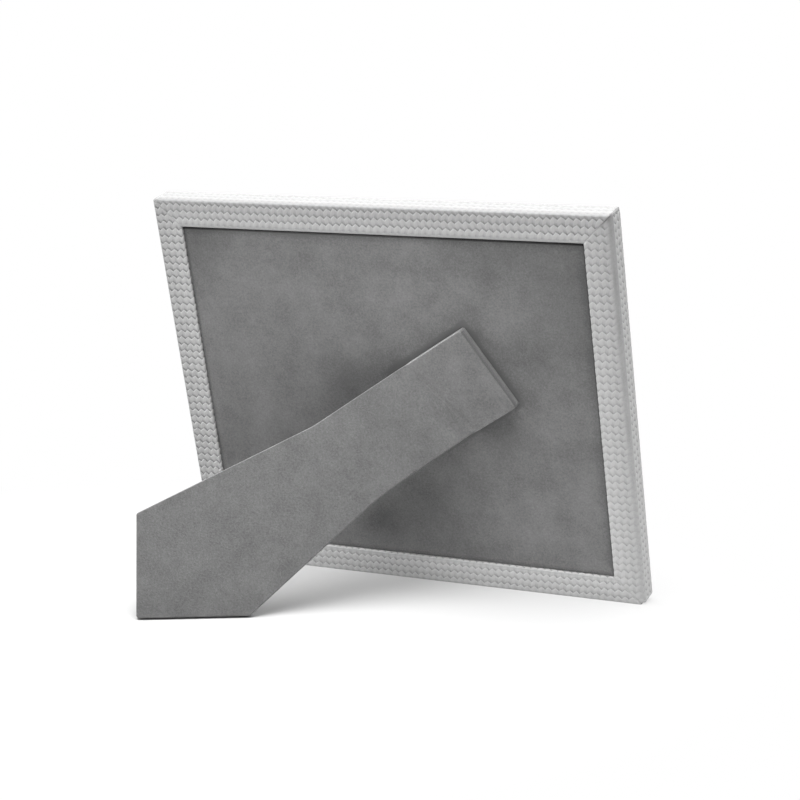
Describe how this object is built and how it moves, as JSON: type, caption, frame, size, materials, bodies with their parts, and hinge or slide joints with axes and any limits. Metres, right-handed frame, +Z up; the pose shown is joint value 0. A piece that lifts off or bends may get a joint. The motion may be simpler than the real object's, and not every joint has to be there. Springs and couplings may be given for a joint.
{
  "type": "picture frame",
  "caption": "Table photo frame in braided-look leather with a suede back panel and a diagonal folding strut, set for landscape and able to stand in portrait.",
  "frame": {"origin": "on the table, under the middle of the bounding box of the standing frame", "axes": "+X along the frame's width towards the side that the strut's foot lies on, +Y backwards out of the back panel's side, +Z up; the frame leans back by 15 degrees, its picture side facing -Y"},
  "size_m": [0.2878, 0.167, 0.2324],
  "materials": {
    "leather": "pressed braid grain, satin",
    "suede": "soft nap, matt",
    "rail_wood": "sawn, unfinished",
    "board": "hardboard, matt",
    "picture_paper": "blank satin sheet",
    "lining_paper": "matt",
    "glass": "clear, polished edges",
    "steel": "zinc plated, satin"
  },
  "bodies": {
    "frame": {"bottom_rail": "rail_wood", "right_rail": "rail_wood", "top_rail": "rail_wood", "left_rail": "rail_wood", "bottom_leather": "leather", "right_leather": "leather", "top_leather": "leather", "left_leather": "leather", "bottom_left_nail": "steel", "bottom_right_nail": "steel", "top_right_nail": "steel", "top_left_nail": "steel", "glass": "glass", "picture_sheet": "picture_paper"},
    "back_panel": {"panel_suede": "suede", "panel_board": "board", "panel_lining": "lining_paper", "strut_head_suede": "suede", "strut_head_board": "board", "hinge_base_plate": "steel", "hinge_pin": "steel", "base_rivet_1": "steel", "base_rivet_2": "steel"},
    "strut": {"strut_leg_suede": "suede", "strut_leg_board": "board", "strut_leg_lining": "suede", "hinge_leaf": "steel", "leaf_rivet_1": "steel", "leaf_rivet_2": "steel"}
  },
  "joints": [
    {"name": "panel_lift", "type": "slide", "parent": "frame", "child": "back_panel", "axis": [0, 0.9659, -0.2588], "range_m": [0, 0.025]},
    {"name": "strut_hinge", "type": "hinge", "parent": "back_panel", "child": "strut", "pos_m": [-0.0309, -0.03513, 0.11845], "axis": [0.7071, 0.183, 0.683], "range_deg": [-43, 0]}
  ]
}
